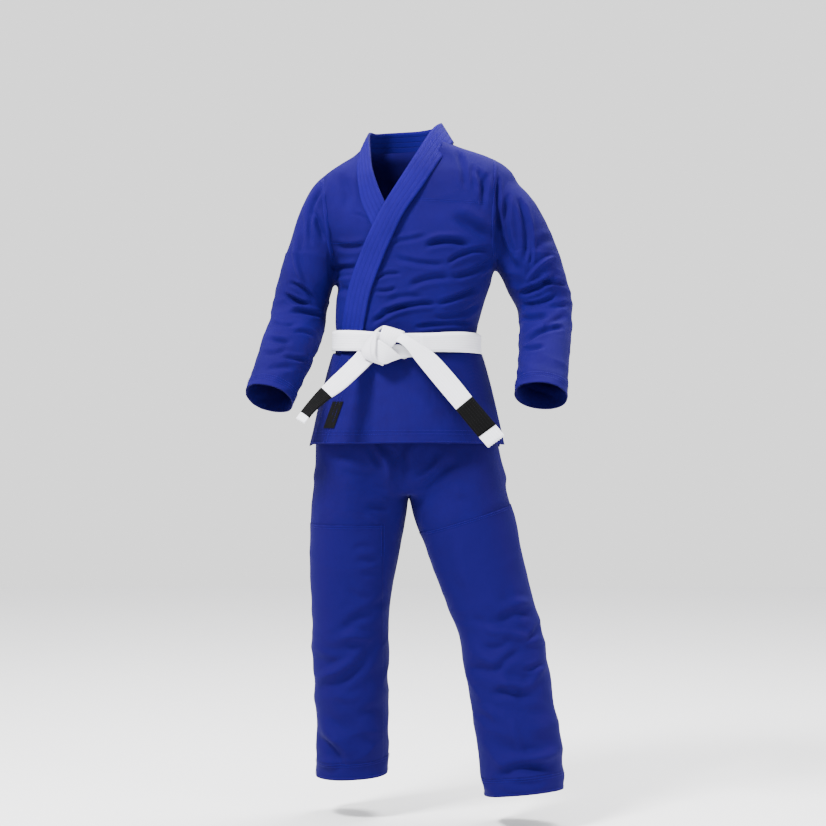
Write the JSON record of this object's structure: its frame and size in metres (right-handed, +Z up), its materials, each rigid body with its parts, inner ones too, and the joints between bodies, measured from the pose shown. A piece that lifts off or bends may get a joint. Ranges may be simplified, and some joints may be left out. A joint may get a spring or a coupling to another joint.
{
  "type": "martial arts uniform",
  "caption": "Wrapped cotton jacket with stiff lapels, tied flat belt with hanging ends, and loose trousers, shaped as worn, with sleeves, legs, skirts and belt ends that move.",
  "frame": {"origin": "middle of the neck opening at the height of the shoulder seams", "axes": "+Z up along the standing wearer, -Y to the front, +X to the wearer's left"},
  "size_m": [0.7201, 0.3998, 1.4815],
  "materials": {
    "jacket_cloth": "pearl weave cotton",
    "lapel_cloth": "twill over foam",
    "lapel_foam": "foam",
    "trouser_cloth": "cotton twill",
    "belt_white": "stitched cotton",
    "belt_black": "stitched cotton",
    "label_black": "woven label",
    "eyelet_metal": "satin"
  },
  "bodies": {
    "torso": {"back_panel": "jacket_cloth", "left_front_panel": "jacket_cloth", "right_front_panel": "jacket_cloth", "left_shoulder_lining": "jacket_cloth", "right_shoulder_lining": "jacket_cloth", "left_lapel": "lapel_cloth", "right_lapel": "lapel_cloth", "neck_collar": "lapel_cloth", "left_lapel_core": "lapel_foam", "right_lapel_core": "lapel_foam", "collar_core": "lapel_foam", "belt_inner_turn": "belt_white", "belt_outer_turn": "belt_white", "belt_knot": "belt_white", "seat_front": "trouser_cloth", "seat_back": "trouser_cloth", "waistband": "trouser_cloth", "waist_eyelets": "eyelet_metal", "cord_loops": "trouser_cloth", "crotch_gusset": "trouser_cloth"},
    "front_skirt": {"right_front_skirt": "jacket_cloth", "left_front_skirt": "jacket_cloth", "skirt_lapel": "lapel_cloth", "front_skirt_hem": "jacket_cloth", "skirt_label": "label_black"},
    "back_skirt": {"back_skirt": "jacket_cloth", "back_skirt_hem": "jacket_cloth"},
    "left_belt_end": {"left_tail": "belt_white", "left_rank_bar": "belt_black"},
    "right_belt_end": {"right_tail": "belt_white", "right_rank_bar": "belt_black"},
    "left_upper_arm": {"left_sleeve_head": "jacket_cloth", "left_upper_sleeve": "jacket_cloth"},
    "left_forearm": {"left_elbow_fold": "jacket_cloth", "left_forearm_sleeve": "jacket_cloth", "left_cuff_band": "jacket_cloth"},
    "right_upper_arm": {"right_sleeve_head": "jacket_cloth", "right_upper_sleeve": "jacket_cloth"},
    "right_forearm": {"right_elbow_fold": "jacket_cloth", "right_forearm_sleeve": "jacket_cloth", "right_cuff_band": "jacket_cloth"},
    "left_thigh": {"left_seat_fold": "trouser_cloth", "left_thigh_front": "trouser_cloth", "left_thigh_back": "trouser_cloth", "left_knee_patch": "trouser_cloth"},
    "left_shin": {"left_knee_fold": "trouser_cloth", "left_shin_front": "trouser_cloth", "left_shin_back": "trouser_cloth", "left_shin_patch": "trouser_cloth", "left_hem_band": "trouser_cloth"},
    "right_thigh": {"right_seat_fold": "trouser_cloth", "right_thigh_front": "trouser_cloth", "right_thigh_back": "trouser_cloth", "right_knee_patch": "trouser_cloth"},
    "right_shin": {"right_knee_fold": "trouser_cloth", "right_shin_front": "trouser_cloth", "right_shin_back": "trouser_cloth", "right_shin_patch": "trouser_cloth", "right_hem_band": "trouser_cloth"}
  },
  "joints": [
    {"name": "left_shoulder", "type": "hinge", "parent": "torso", "child": "left_upper_arm", "pos_m": [0.202, 0, -0.095], "axis": [0, -1, 0], "range_deg": [0, 45], "deforming": ["left_sleeve_head"]},
    {"name": "left_elbow", "type": "hinge", "parent": "left_upper_arm", "child": "left_forearm", "pos_m": [0.31583, 0.01502, -0.35803], "axis": [-1, 0, 0], "range_deg": [-25, 40], "deforming": ["left_elbow_fold"]},
    {"name": "right_shoulder", "type": "hinge", "parent": "torso", "child": "right_upper_arm", "pos_m": [-0.165, 0, -0.095], "axis": [0, 1, 0], "range_deg": [0, 45], "deforming": ["right_sleeve_head"]},
    {"name": "right_elbow", "type": "hinge", "parent": "right_upper_arm", "child": "right_forearm", "pos_m": [-0.23676, 0.01502, -0.37248], "axis": [-1, 0, 0], "range_deg": [-25, 40], "deforming": ["right_elbow_fold"]},
    {"name": "left_hip", "type": "hinge", "parent": "torso", "child": "left_thigh", "pos_m": [0.128, 0, -0.627], "axis": [-1, 0, 0], "range_deg": [-12, 30], "deforming": ["left_seat_fold"]},
    {"name": "left_knee", "type": "hinge", "parent": "left_thigh", "child": "left_shin", "pos_m": [0.18568, -0.021, -0.98158], "axis": [1, 0, 0], "range_deg": [0, 50], "deforming": ["left_knee_fold"]},
    {"name": "right_hip", "type": "hinge", "parent": "torso", "child": "right_thigh", "pos_m": [-0.106, 0, -0.627], "axis": [-1, 0, 0], "range_deg": [-12, 30], "deforming": ["right_seat_fold"]},
    {"name": "right_knee", "type": "hinge", "parent": "right_thigh", "child": "right_shin", "pos_m": [-0.12098, 0.01525, -0.98918], "axis": [1, 0, 0], "range_deg": [0, 50], "deforming": ["right_knee_fold"]},
    {"name": "front_skirt_lift", "type": "hinge", "parent": "torso", "child": "front_skirt", "pos_m": [0, -0.121, -0.458], "axis": [-1, 0, 0], "range_deg": [0, 15]},
    {"name": "back_skirt_lift", "type": "hinge", "parent": "torso", "child": "back_skirt", "pos_m": [0, 0.121, -0.458], "axis": [1, 0, 0], "range_deg": [0, 18]},
    {"name": "left_belt_end_lift", "type": "hinge", "parent": "front_skirt", "child": "left_belt_end", "pos_m": [-0.03906, -0.1463, -0.426], "axis": [-0.682, 0, -0.7314], "range_deg": [0, 40]},
    {"name": "right_belt_end_lift", "type": "hinge", "parent": "front_skirt", "child": "right_belt_end", "pos_m": [-0.03906, -0.1463, -0.426], "axis": [-0.6947, 0, 0.7193], "range_deg": [0, 40]}
  ]
}
